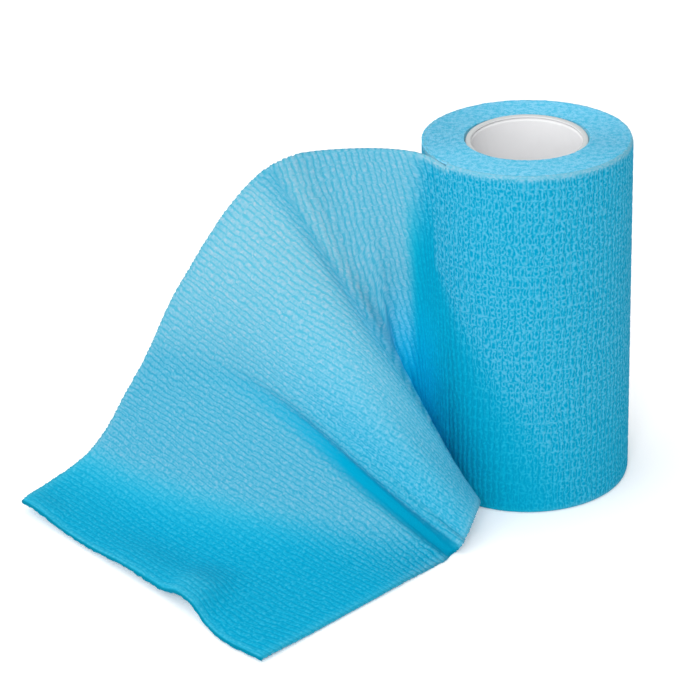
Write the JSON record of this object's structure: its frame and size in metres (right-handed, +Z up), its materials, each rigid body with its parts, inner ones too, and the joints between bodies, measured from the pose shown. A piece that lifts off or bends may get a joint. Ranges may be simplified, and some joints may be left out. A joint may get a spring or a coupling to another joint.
{
  "type": "cohesive bandage roll",
  "caption": "Roll of crepe cohesive bandage standing on end on its core, with the loose end drawn off, twisted over and laid on the table.",
  "frame": {"origin": "on the table, under the middle of the box round the roll and its loose end", "axes": "+Z up along the roll's axis; the loose end runs from the roll towards -X and comes forward towards -Y"},
  "size_m": [0.1688, 0.133, 0.1],
  "materials": {
    "crepe_cloth": "matte crepe, light blue",
    "core_white": "smooth, plain white"
  },
  "bodies": {
    "root": {"wound_roll": "crepe_cloth", "loose_end": "crepe_cloth", "core": "core_white"}
  },
  "joints": []
}
